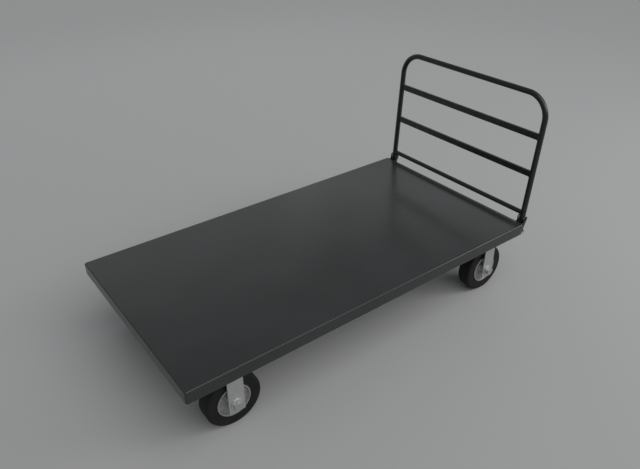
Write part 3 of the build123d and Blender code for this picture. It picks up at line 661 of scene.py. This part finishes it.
race_bore = 26 * mm
race_edge = 0.8 * mm
for level in ("upper", "lower"):
    for name in sides:
        node = "upper_races" if level == "upper" else f"lower_race_{name}"
        low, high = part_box(node)
        kingpin = joint_at[f"caster_swivel_{name}"]
        outside = (high.x - low.x) / 2
        centre = (kingpin.x, kingpin.y, low.z)
        thickness = high.z - low.z
        race = ring(
            f"{level}_race_{name}", centre, (0, 0, 1), race_bore, outside, thickness, race_edge
        )
        if level == "upper":
            finish(race, zinc_paint, "deck", "zinc_plate", "upper_races")
        else:
            finish(race, zinc_paint, f"swivel_{name}", "zinc_plate", f"lower_race_{name}")

kingpin_radius = 8 * mm
thread_pitch = 2 * mm


def threaded(start, end, radius, pitch):
    """Profile of a threaded length: a small ridge for each turn and a chamfered end."""
    turns = max(1, int(abs(end - start) / pitch))
    step = (end - start) / turns
    profile = []
    for number in range(turns):
        profile.append((start + number * step, radius))
        profile.append((start + (number + 0.5) * step, radius - 0.3 * pitch))
    profile.append((end - 0.2 * step, radius))
    profile.append((end, radius - 0.4 * pitch))
    return profile


bright_zinc = zinc_plate("bright_zinc", (0.53, 0.54, 0.54), 0.37, 0.2)
nut_low, nut_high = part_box("kingpin_nuts")
pin_low, pin_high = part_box("kingpins")
kingpin_flats = 24 * mm
head_radius = 13 * mm
head_height = 5 * mm
for name in sides:
    kingpin = joint_at[f"caster_swivel_{name}"]
    foot = (kingpin.x, kingpin.y, pin_low.z)
    length = pin_high.z - pin_low.z
    thread_end = nut_high.z - pin_low.z
    profile = threaded(thread_end, 0, kingpin_radius, thread_pitch)[::-1] + [
        (length - head_height, kingpin_radius),
        (length, head_radius),
    ]
    pin = turn(f"kingpin_{name}", foot, (0, 0, 1), profile, 40)
    finish(pin, bright_zinc, "deck", "fastener_zinc", "kingpins")
    nut = hexagon(
        f"kingpin_nut_{name}", (kingpin.x, kingpin.y, nut_high.z), (0, 0, -1), kingpin_flats,
        nut_high.z - nut_low.z,
    )
    finish(nut, bright_zinc, "deck", "fastener_zinc", "kingpin_nuts")

# ---------------------------------------------------------------------------------------------
# Caster bolts: M10 flange bolts, zinc plated, four up through each plate into weld nuts inside
# the channel.
bolt_low, bolt_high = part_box("caster_bolts")
flange_radius = 10.5 * mm
flange_height = 2 * mm
bolt_flats = 16 * mm
bolt_radius = 5 * mm
bolt_pitch = 1.5 * mm
bolt_spread = Vector((105 * mm, 80 * mm, 0))
plate_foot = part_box("rigid_plate_left")[0].z


def at_place(piece, name, shift):
    """Copy a shape, with its own mesh, to another place."""
    close(piece)
    bpy.ops.object.duplicate()
    copy = bpy.context.object
    copy.name = name
    copy.location = shift
    settle()
    return copy


flange_profile = [
    (0, bolt_radius),
    (0, flange_radius),
    (-flange_height * 0.5, flange_radius),
    (-flange_height, flange_radius * 0.86),
    (-flange_height, bolt_radius),
]
head = hexagon("head", (0, 0, 0), (0, 0, -1), bolt_flats, plate_foot - bolt_low.z)
flange = turn("flange", (0, 0, 0), (0, 0, 1), flange_profile, 40)
shank_profile = threaded(0, bolt_high.z - plate_foot, bolt_radius, bolt_pitch)
shank = turn("shank", (0, 0, 0), (0, 0, 1), shank_profile, 20)
one_bolt = join([head, flange, shank])
bolts = []
for kind in ("rigid", "swivel"):
    for name in sides:
        low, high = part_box(f"{kind}_plate_{name}")
        centre = (low + high) / 2
        for x in (centre.x - bolt_spread.x / 2, centre.x + bolt_spread.x / 2):
            for y in (centre.y - bolt_spread.y / 2, centre.y + bolt_spread.y / 2):
                bolts.append(at_place(one_bolt, "bolt", Vector((x, y, plate_foot))))
bpy.data.objects.remove(one_bolt)
caster_bolts = join(bolts)
caster_bolts.name = "caster_flange_bolts"
finish(caster_bolts, bright_zinc, "deck", "fastener_zinc", "caster_bolts")

# ---------------------------------------------------------------------------------------------
# Axles: an M20 bolt through each fork with its head outboard, a plain washer under head and
# nut, a thrust washer each side of the hub, and a lock nut inboard.
axle_flats = 30 * mm
axle_radius = 10 * mm
washer_radius = 22 * mm
washer_thickness = 3 * mm
thrust_radius = 20 * mm
sleeve_radius = 12.5 * mm
fork_gap = 78.4 * mm
leg_face = fork_gap / 2 + fork_wall
head_seat = leg_face + washer_thickness
axle_head = 12.5 * mm
axle_nut = 16 * mm
axle_end = 3 * mm
axle_pitch = 2.5 * mm
lock_collar = 3.5 * mm
washer_slack = 0.25 * mm
for end in ("front", "rear"):
    for name, side in sides.items():
        centre = joint_at[f"{end}_wheel_spin_{name}"]
        body = "deck" if end == "front" else f"swivel_{name}"
        nodes = "front_axle_{}s" if end == "front" else "rear_axle_{}_" + name
        out = Vector((0, side, 0))

        length = 2 * head_seat + axle_nut + axle_end
        head = hexagon("head", centre + out * head_seat, out, axle_flats, axle_head, 0.25)
        profile = [(0, axle_radius), (length - axle_nut - axle_end, axle_radius)]
        profile += threaded(length - axle_nut - axle_end + 0.1 * mm, length, axle_radius, axle_pitch)
        shank = turn("shank", centre + out * head_seat, -out, profile, 40)
        bolt = join([head, shank])
        bolt.name = f"{end}_axle_bolt_{name}"
        finish(bolt, bright_zinc, body, "fastener_zinc", nodes.format("bolt"))

        nut = hexagon("nut", centre - out * head_seat, -out, axle_flats, axle_nut - lock_collar, 0.25)
        collar_profile = [
            (axle_nut - lock_collar, axle_flats * 0.44),
            (axle_nut - 1 * mm, axle_flats * 0.42),
            (axle_nut, axle_flats * 0.37),
            (axle_nut, axle_radius),
        ]
        collar = turn("collar", centre - out * head_seat, -out, collar_profile, 48)
        nut = join([nut, collar])
        nut.name = f"{end}_axle_lock_nut_{name}"
        finish(nut, bright_zinc, body, "fastener_zinc", nodes.format("nut"))

        washers = []
        for face in (-1, 1):
            way = Vector((0, face, 0))
            outer = centre + way * leg_face
            inner = centre + way * fork_gap / 2
            washers += [
                ring("washer", outer, way, axle_radius + washer_slack, washer_radius, washer_thickness),
                ring("thrust", inner, -way, sleeve_radius, thrust_radius, washer_thickness),
            ]
        plain = join(washers)
        plain.name = f"{end}_axle_washer_set_{name}"
        node = "front_axle_washers" if end == "front" else f"rear_axle_washers_{name}"
        finish(plain, bright_zinc, body, "fastener_zinc", node)

# ---------------------------------------------------------------------------------------------
# Tyres: solid black rubber moulded on the hubs, with a flat tread, round shoulders and a sunk
# band round each sidewall.
tyre_radius = 100 * mm
tyre_half = 28 * mm
hub_radius = 60.6 * mm
shoulder = 7.7 * mm
bead = 1.5 * mm
band_inner = 5 * mm
band_outer = 17 * mm
band_slope = 1 * mm
band_depth = 0.5 * mm


def tyre_rubber(name, centre):
    """Moulded rubber: fine pores, dusty bloom, a tread scuffed paler than the sidewalls."""
    centre = (-centre.x, 0, -centre.z)

    def patterns(s):
        place = s.node("ShaderNodeMapping", {}, {"Vector": s.place(), "Location": centre})
        across = s.node("ShaderNodeVectorMath", {"operation": "MULTIPLY"}, {0: place, 1: (1, 0, 1)})
        radius = s.node("ShaderNodeVectorMath", {"operation": "LENGTH"}, {0: across}, "Value")
        tread = radius.between(tyre_radius - 3.5 * mm, tyre_radius - 0.5 * mm)
        cloud = s.noise(22.0, 5.0, 0.65)
        fine = s.noise(700.0, 2.0, 0.6)
        scrub = s.noise(60.0, 5.0, 0.7, (1.0, 4.0, 1.0)).between(0.42, 0.7)
        wall = cloud.between(0.3, 0.7).tint((0.0038, 0.0039, 0.0040), (0.0066, 0.0067, 0.0067))
        trodden = scrub.tint((0.0065, 0.0066, 0.0066), (0.015, 0.0148, 0.0145))
        bloom = (cloud.between(0.5, 0.8) * 0.3).tint(wall, (0.018, 0.0178, 0.0172))
        return {
            "Base Color": (tread * 0.85).tint(bloom, trodden),
            "Roughness": 0.58 + 0.16 * cloud + 0.14 * tread * scrub,
            "Normal": fine.bump(0.3, 0.08 * mm, under=(scrub * tread).bump(0.25, 0.15 * mm)),
        }

    return material(name, {"Specular IOR Level": 0.33}, patterns)


wall_arc = [
    (tyre_half - shoulder * (1 - sin(angle)), tyre_radius - shoulder * (1 - cos(angle)))
    for angle in [radians(15 * step) for step in range(7)]
]
tyre_profile = [
    *wall_arc,
    (tyre_half, hub_radius + band_outer),
    (tyre_half - band_depth, hub_radius + band_outer - band_slope),
    (tyre_half - band_depth, hub_radius + band_inner + band_slope),
    (tyre_half, hub_radius + band_inner),
    (tyre_half, hub_radius + bead),
    (tyre_half - 0.45 * bead, hub_radius + 0.45 * bead),
    (tyre_half - bead, hub_radius),
]
mirrored = [(-height, radius) for height, radius in tyre_profile[::-1]]
around = [*tyre_profile, *mirrored, tyre_profile[0]]
tyre = turn("tyre", (0, 0, 0), (0, 1, 0), around, 128, closed=True)
for end in ("front", "rear"):
    for name, side in sides.items():
        centre = joint_at[f"{end}_wheel_spin_{name}"]
        paint = f"{end}_tyre_rubber"
        rubber = bpy.data.materials.get(paint) or tyre_rubber(paint, centre)
        copy = at_place(tyre, f"{end}_rubber_tyre_{name}", centre)
        finish(copy, rubber, f"{end}_wheel_{name}", "tyre_rubber", f"{end}_tyre_{name}")
bpy.data.objects.remove(tyre)

# ---------------------------------------------------------------------------------------------
# Hubs: cast aluminium cores, dished on both sides between the rim and the boss, with five round
# pockets in each dish where the core was held in the mould.
rim_radius = 55.6 * mm
boss_radius = 24 * mm
boss_half = 35.8 * mm
dish = 9 * mm
dish_face = tyre_half - dish
shell_radius = 19.26 * mm
pocket_radius = 4.5 * mm
pocket_circle = 46 * mm
pocket_depth = 4.5 * mm
pocket_count = 5


def cast_metal(name, colour):
    """Sand-blasted casting: soft lumps, blasted grain, grime in the dish and pale edges."""
    dirt = [0.35 * c for c in colour]
    pale = [1.3 * c for c in colour]

    def patterns(s):
        lumps = s.noise(55.0, 4.0, 0.6)
        blasted = s.noise(620.0, 3.0, 0.7)
        grime = s.noise(24.0, 6.0, 0.7).between(0.48, 0.72)
        metal = (0.6 * lumps + 0.4 * blasted).between(0.3, 0.7).tint([0.8 * c for c in colour], colour)
        return {
            "Base Color": (s.edges() * 0.5).tint((grime * 0.3).tint(metal, dirt), pale),
            "Roughness": 0.50 + 0.18 * grime + 0.08 * blasted,
            "Normal": blasted.bump(0.35, 0.10 * mm, under=lumps.bump(0.25, 0.5 * mm)),
        }

    return material(name, {"Metallic": 0.7, "Specular IOR Level": 0.5}, patterns)


hub_metal = cast_metal("cast_aluminium", (0.42, 0.42, 0.415))
hub_profile = [
    (0, hub_radius),
    (tyre_half - 1 * mm, hub_radius),
    (tyre_half, hub_radius - 1 * mm),
    (tyre_half, rim_radius + 0.8 * mm),
    (tyre_half - 0.8 * mm, rim_radius),
    (dish_face + 2.5 * mm, rim_radius - 3.0 * mm),
    (dish_face + 0.8 * mm, rim_radius - 4.2 * mm),
    (dish_face, rim_radius - 6.5 * mm),
    (dish_face, boss_radius + 5 * mm),
    (dish_face + 0.8 * mm, boss_radius + 2.4 * mm),
    (dish_face + 3.2 * mm, boss_radius + 0.6 * mm),
    (dish_face + 6 * mm, boss_radius),
    (boss_half - 1.5 * mm, boss_radius),
    (boss_half, boss_radius - 1.5 * mm),
    (boss_half, shell_radius),
]
mirrored = [(-height, radius) for height, radius in hub_profile[::-1]]
hub = turn("hub", (0, 0, 0), (0, 1, 0), [*hub_profile, *mirrored, hub_profile[0]], 96, closed=True)
for face in (-1, 1):
    for number in range(pocket_count):
        angle = 2 * pi * number / pocket_count
        mouth = Vector((pocket_circle * cos(angle), face * (dish_face + 1 * mm), pocket_circle * sin(angle)))
        profile = [
            (0, pocket_radius),
            (pocket_depth + 0.2 * mm, pocket_radius),
            (pocket_depth + 1 * mm, pocket_radius - 0.9 * mm),
        ]
        cut(hub, turn("pocket", mouth, (0, -face, 0), profile, 24))
break_edges(hub, 0.3 * mm, 1, 50)
for end in ("front", "rear"):
    for name, side in sides.items():
        copy = at_place(hub, f"{end}_cast_hub_{name}", joint_at[f"{end}_wheel_spin_{name}"])
        finish(copy, hub_metal, f"{end}_wheel_{name}", "hub_casting", f"{end}_hub_{name}")
bpy.data.objects.remove(hub)

# ---------------------------------------------------------------------------------------------
# Inner works: bearing shells and rollers, axle sleeves, balls and weld nuts, of ground or plated
# steel. They sit inside the hubs, between the races and in the channels, and hardly show.
ground_steel = zinc_plate("ground_steel", (0.42, 0.42, 0.43), 0.28, 0.25)
inner_works = [name for name in frame["nodes"] if "bearing" in name or "sleeve" in name]
inner_works += ["swivel_balls", "caster_nuts", "plate_nuts"]
for node in inner_works:
    frame["nodes"][node].data.materials.clear()
    frame["nodes"][node].data.materials.append(ground_steel)

# ---------------------------------------------------------------------------------------------
# Handle clevises: a web welded to the rear apron at each corner and two ears that rise beside
# the tube's foot, round at the top about the pivot, painted with the handle.
handle_paint = powder_coat("black_powder_coat", (0.0090, 0.0098, 0.0100), 0.33, 0.2)
pivot = joint_at["handle_fold"]
ear_radius = 10 * mm
ear_foot = 9 * mm
ear_thickness = 3.5 * mm
ear_shoulder = 1 * mm
ear_foot_slope = radians(20)
web_thickness = 3.5 * mm
web_inset = 0.2 * mm
near = 0.1 * mm
for name, side in sides.items():
    low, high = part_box(f"hinge_clevis_{name}")
    ears = []
    for face in (-1, 1):
        outer = high.y if face > 0 else low.y
        ear = circle("ear", ear_radius, (pivot.x, outer, pivot.z), 36, (pi / 2, 0, 0))
        slope_top = pivot.z - ear_radius * sin(ear_foot_slope)
        choose(
            lambda place, normal: place.z < slope_top - near
            or (place.z < pivot.z - near and place.x < pivot.x),
            "VERT",
        )
        bpy.ops.mesh.delete(type="VERT")
        choose(lambda place, normal: place.x > pivot.x and place.z < slope_top + near, "VERT")
        edited = bmesh.from_edit_mesh(ear.data)
        rear = max(vertex.co.x for vertex in edited.verts if vertex.co.z < slope_top + near)
        pull(x=low.x + ear_foot - rear, z=low.z - slope_top)
        front = pivot.x - ear_radius
        choose(lambda place, normal: place.x < front + near / 10 and abs(place.z - pivot.z) < near, "VERT")
        for x, z in (
            (0, deck_high.z - ear_shoulder - pivot.z),
            (low.x - front, ear_shoulder - deck_edge),
            (0, low.z - deck_high.z + deck_edge),
        ):
            pull(x=x, z=z)
        bpy.ops.mesh.select_all(action="SELECT")
        bpy.ops.mesh.edge_face_add()
        pull(y=-face * ear_thickness)
        face_outwards()
        close(ear)
        ears.append(ear)
    web = block(
        "web",
        (low.x, low.y + web_inset, low.z),
        (low.x + web_thickness, high.y - web_inset, deck_high.z - deck_edge),
    )
    close(web)
    clevis = join([web, *ears])
    clevis.name = f"handle_clevis_{name}"
    break_edges(clevis, 0.5 * mm)
    finish(clevis, handle_paint, "deck", "handle_paint", f"hinge_clevis_{name}")

# ---------------------------------------------------------------------------------------------
# Handle hoop: one length of 22.2 mm steel tube bent twice on a former, coated satin black. It
# leans back a little from its pivots.
tube = 11.1 * mm
tube_wall = 1.6 * mm
handle_half = 381 * mm
handle_rise = 502.5 * mm
handle_bend = 92 * mm
handle_foot = 41.5 * mm
handle_lean = radians(2.9)


def lean_back(piece):
    """Carry a piece made upright about the origin to its place on the leaning handle."""
    close(piece)
    piece.location = pivot
    piece.rotation_euler = (0, handle_lean, 0)
    settle()


hoop = circle("handle_tube", tube, (0, -handle_half, -handle_foot), 48)
pull(z=handle_rise - handle_bend + handle_foot)
bend_y = handle_half - handle_bend
bend_z = handle_rise - handle_bend
bpy.ops.mesh.spin(steps=24, angle=pi / 2, center=(0, -bend_y, bend_z), axis=(1, 0, 0))
pull(y=2 * bend_y)
bpy.ops.mesh.spin(steps=24, angle=pi / 2, center=(0, bend_y, bend_z), axis=(1, 0, 0))
pull(z=-(handle_rise - handle_bend + handle_foot))
face_outwards()
lean_back(hoop)
fold_sheet(hoop, tube_wall)
finish(hoop, handle_paint, "handle", "handle_paint", "handle_hoop")

# ---------------------------------------------------------------------------------------------
# Crossbars: two flat box bars and a round tube near the foot, coped to the legs of the hoop and
# welded all round at both ends.
bar_width = 12 * mm
bar_height = 25 * mm
bar_corner = 2.5 * mm
bar_rise = {"upper": 346.3 * mm, "middle": 192.0 * mm}
bead_radius = 2.2 * mm
bead_sink = 0.2 * mm
cope_sink = 0.3 * mm


def leg_rod(side):
    """Rod in the place of one leg of the hoop."""
    profile = [(-handle_foot, tube - cope_sink), (handle_rise - handle_bend, tube - cope_sink)]
    return turn("leg", (0, side * handle_half, 0), (0, 0, 1), profile, 48)


def weld_ring(name, side, rise, width, height, corner):
    """Weld bead round a bar's end, following the leg's round face."""
    clear()
    bpy.ops.mesh.primitive_plane_add(
        size=1, location=(0, side * handle_half, rise), rotation=(pi / 2, 0, 0)
    )
    bead = bpy.context.object
    bead.name = name
    bead.scale = (width, height, 1)
    settle()
    bpy.ops.object.mode_set(mode="EDIT")
    bpy.ops.mesh.select_all(action="SELECT")
    bpy.ops.mesh.bevel(offset=corner, segments=4, affect="VERTICES")
    bpy.ops.mesh.delete(type="ONLY_FACE")
    bpy.ops.mesh.select_all(action="SELECT")
    bpy.ops.mesh.subdivide(number_cuts=7)
    edited = bmesh.from_edit_mesh(bead.data)
    for vertex in edited.verts:
        depth = sqrt(max(0, tube**2 - vertex.co.x**2))
        vertex.co.y = side * (handle_half - depth - bead_sink)
    bmesh.update_edit_mesh(bead.data)
    close(bead)
    bpy.ops.object.convert(target="CURVE")
    bead = bpy.context.object
    bead.data.bevel_depth = bead_radius
    bead.data.bevel_resolution = 2
    bpy.ops.object.convert(target="MESH")
    return bpy.context.object


for level, rise in bar_rise.items():
    low = (-bar_width / 2, -handle_half, rise - bar_height / 2)
    high = (bar_width / 2, handle_half, rise + bar_height / 2)
    bar = block(f"{level}_bar", low, high)
    choose(lambda centre, way: abs(way.y) > 0.9, "EDGE")
    bpy.ops.mesh.bevel(offset=bar_corner, segments=4)
    for side in sides.values():
        cut(bar, leg_rod(side))
    beads = [
        weld_ring("bead", side, rise, bar_width, bar_height, bar_corner) for side in sides.values()
    ]
    bar = join([bar, *beads])
    lean_back(bar)
    finish(bar, handle_paint, "handle", "handle_paint", f"{level}_crossbar")

round_bar = 9.5 * mm
low_rise = 20.2 * mm
profile = [(0, round_bar), (2 * handle_half, round_bar)]
bar = turn("lower_bar", (0, -handle_half, low_rise), (0, 1, 0), profile, 40)
for side in sides.values():
    cut(bar, leg_rod(side))
beads = [
    weld_ring("bead", side, low_rise, 2 * round_bar, 2 * round_bar, 0.98 * round_bar)
    for side in sides.values()
]
bar = join([bar, *beads])
lean_back(bar)
finish(bar, handle_paint, "handle", "handle_paint", "lower_crossbar")

# ---------------------------------------------------------------------------------------------
# Handle feet: a moulded black nylon plug pushed into each end of the tube, its shoe rounded about
# the pivot. The white washers beside the tube are of nylon too.
foot_round = 46 * mm
plug_depth = 9 * mm


def moulded(name, colour, roughness):
    """Moulded plastic or rubber: fine spark-eroded grain with a faint cloud."""

    def patterns(s):
        cloud = s.noise(60.0, 4.0)
        grain = s.noise(1500.0, 2.0)
        return {
            "Base Color": cloud.tint([0.8 * c for c in colour], [1.25 * c for c in colour]),
            "Roughness": roughness + 0.1 * cloud,
            "Normal": grain.bump(0.25, 0.03 * mm),
        }

    return material(name, {"Specular IOR Level": 0.45}, patterns)


black_nylon = moulded("black_nylon", (0.020, 0.021, 0.022), 0.42)
plugs = []
for side in sides.values():
    profile = [(-foot_round - 1 * mm, tube), (-handle_foot, tube), (-handle_foot, tube - tube_wall)]
    profile.append((-handle_foot + plug_depth, tube - tube_wall))
    plug = turn("plug", (0, side * handle_half, 0), (0, 0, 1), profile, 48)
    reach = [(side * handle_half - 2 * tube, foot_round), (side * handle_half + 2 * tube, foot_round)]
    cut(plug, turn("reach", (0, 0, 0), (0, 1, 0), reach, 160), "INTERSECT")
    plugs.append(plug)
plugs = join(plugs)
plugs.name = "tube_foot_plugs"
break_edges(plugs, 0.5 * mm)
lean_back(plugs)
finish(plugs, black_nylon, "handle", "nylon", "foot_plugs")

white_nylon = moulded("white_nylon", (0.62, 0.61, 0.57), 0.38)
frame["nodes"]["pivot_washers"].data.materials.clear()
frame["nodes"]["pivot_washers"].data.materials.append(white_nylon)

# ---------------------------------------------------------------------------------------------
# Pivot rivets: a steel shank through both ears, closed to a low domed head each side and painted
# with the handle.
rivet_head = 7.5 * mm
rivet_shank = 4 * mm
rivet_rise = 2.8 * mm
rivets = []
for name, side in sides.items():
    low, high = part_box(f"hinge_clevis_{name}")
    centre = Vector((pivot.x, (low.y + high.y) / 2, pivot.z))
    seat = (high.y - low.y) / 2
    dome = [
        (seat + rivet_rise * sin(radians(turned)), rivet_head * cos(radians(turned)) ** 0.7)
        for turned in (12, 30, 48, 66, 80)
    ]
    profile = [(0, rivet_shank), (seat, rivet_shank), (seat, rivet_head), *dome]
    mirrored = [(-height, radius) for height, radius in profile[:0:-1]]
    rivets.append(turn("rivet", centre, (0, 1, 0), mirrored + profile, 40))
rivets = join(rivets)
rivets.name = "handle_rivets"
finish(rivets, handle_paint, "deck", "handle_paint", "pivot_rivets")

# ---------------------------------------------------------------------------------------------
# Corner plates: 5 mm zinc plated steel bolted under the side lips, with the rear end turned up
# behind the handle's foot.
upstand = 3 * mm
plate_round = 6 * mm
plate_thickness = 5 * mm
for name in sides:
    low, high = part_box(f"corner_plate_{name}")
    top = low.z + plate_thickness
    plate = block(f"foot_plate_{name}", low, (high.x, high.y, top))
    choose(lambda centre, way: abs(way.z) > 0.9, "EDGE")
    bpy.ops.mesh.bevel(offset=plate_round, segments=6)
    for place, normal in (
        ((high.x - upstand, 0, 0), (1, 0, 0)),
        ((0, low.y + plate_round, 0), (0, 1, 0)),
        ((0, high.y - plate_round, 0), (0, 1, 0)),
    ):
        bpy.ops.mesh.select_all(action="SELECT")
        bpy.ops.mesh.bisect(plane_co=place, plane_no=normal)
    choose(
        lambda centre, normal: normal.z > 0.9
        and centre.x > high.x - upstand
        and low.y + plate_round < centre.y < high.y - plate_round
    )
    pull(z=high.z - top)
    break_edges(plate, 0.7 * mm)
    finish(plate, zinc_paint, "deck", "zinc_plate", f"corner_plate_{name}")

bolt_low, bolt_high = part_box("plate_bolts")
corner_bolt = 4 * mm
corner_pitch = 1.25 * mm
corner_flats = 13 * mm
corner_head = 5.3 * mm
corner_bolt_y = (bolt_high.y - bolt_low.y) / 2 - corner_flats / 2
seat_z = bolt_low.z + corner_head
head = hexagon("head", (0, 0, 0), (0, 0, -1), corner_flats, corner_head)
shank_profile = threaded(0, bolt_high.z - seat_z, corner_bolt, corner_pitch)
shank = turn("shank", (0, 0, 0), (0, 0, 1), shank_profile, 24)
one_bolt = join([head, shank])
bolts = []
for side in sides.values():
    for x in (bolt_low.x + corner_flats / sqrt(3), bolt_high.x - corner_flats / sqrt(3)):
        bolts.append(at_place(one_bolt, "bolt", Vector((x, side * corner_bolt_y, seat_z))))
bpy.data.objects.remove(one_bolt)
bolts = join(bolts)
bolts.name = "foot_plate_bolts"
finish(bolts, bright_zinc, "deck", "fastener_zinc", "plate_bolts")

# ---------------------------------------------------------------------------------------------
# Rest stops and plungers: a rubber pad on each clevis web that the foot leans against, and a
# spring plunger in each corner plate under it.
pad_width = 16 * mm
stop_rubber = moulded("stop_rubber", (0.012, 0.012, 0.012), 0.7)
low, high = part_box("rest_stops")
for name, side in sides.items():
    centre_y = side * handle_half
    pad = block(
        f"rest_pad_{name}",
        (low.x, centre_y - pad_width / 2, low.z),
        (high.x, centre_y + pad_width / 2, high.z),
    )
    break_edges(pad, 0.9 * mm, 3)
    finish(pad, stop_rubber, "deck", "stop_rubber", "rest_stops")

low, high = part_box("detent_plungers")
plunger_radius = 4 * mm
nose_radius = 2.5 * mm
nose_height = 5.5 * mm
length = high.z - low.z
for name, side in sides.items():
    centre = ((low.x + high.x) / 2, side * handle_half, low.z)
    nose = [
        (length - nose_radius * (1 - sin(radians(turned))), nose_radius * cos(radians(turned)))
        for turned in (0, 20, 40, 60, 78)
    ]
    profile = threaded(length - nose_height, 0, plunger_radius, corner_pitch)[::-1]
    profile += [(length - nose_height, plunger_radius), (length - nose_height, nose_radius), *nose]
    plunger = turn(f"plunger_{name}", centre, (0, 0, 1), profile, 32)
    finish(plunger, bright_zinc, "deck", "fastener_zinc", "detent_plungers")
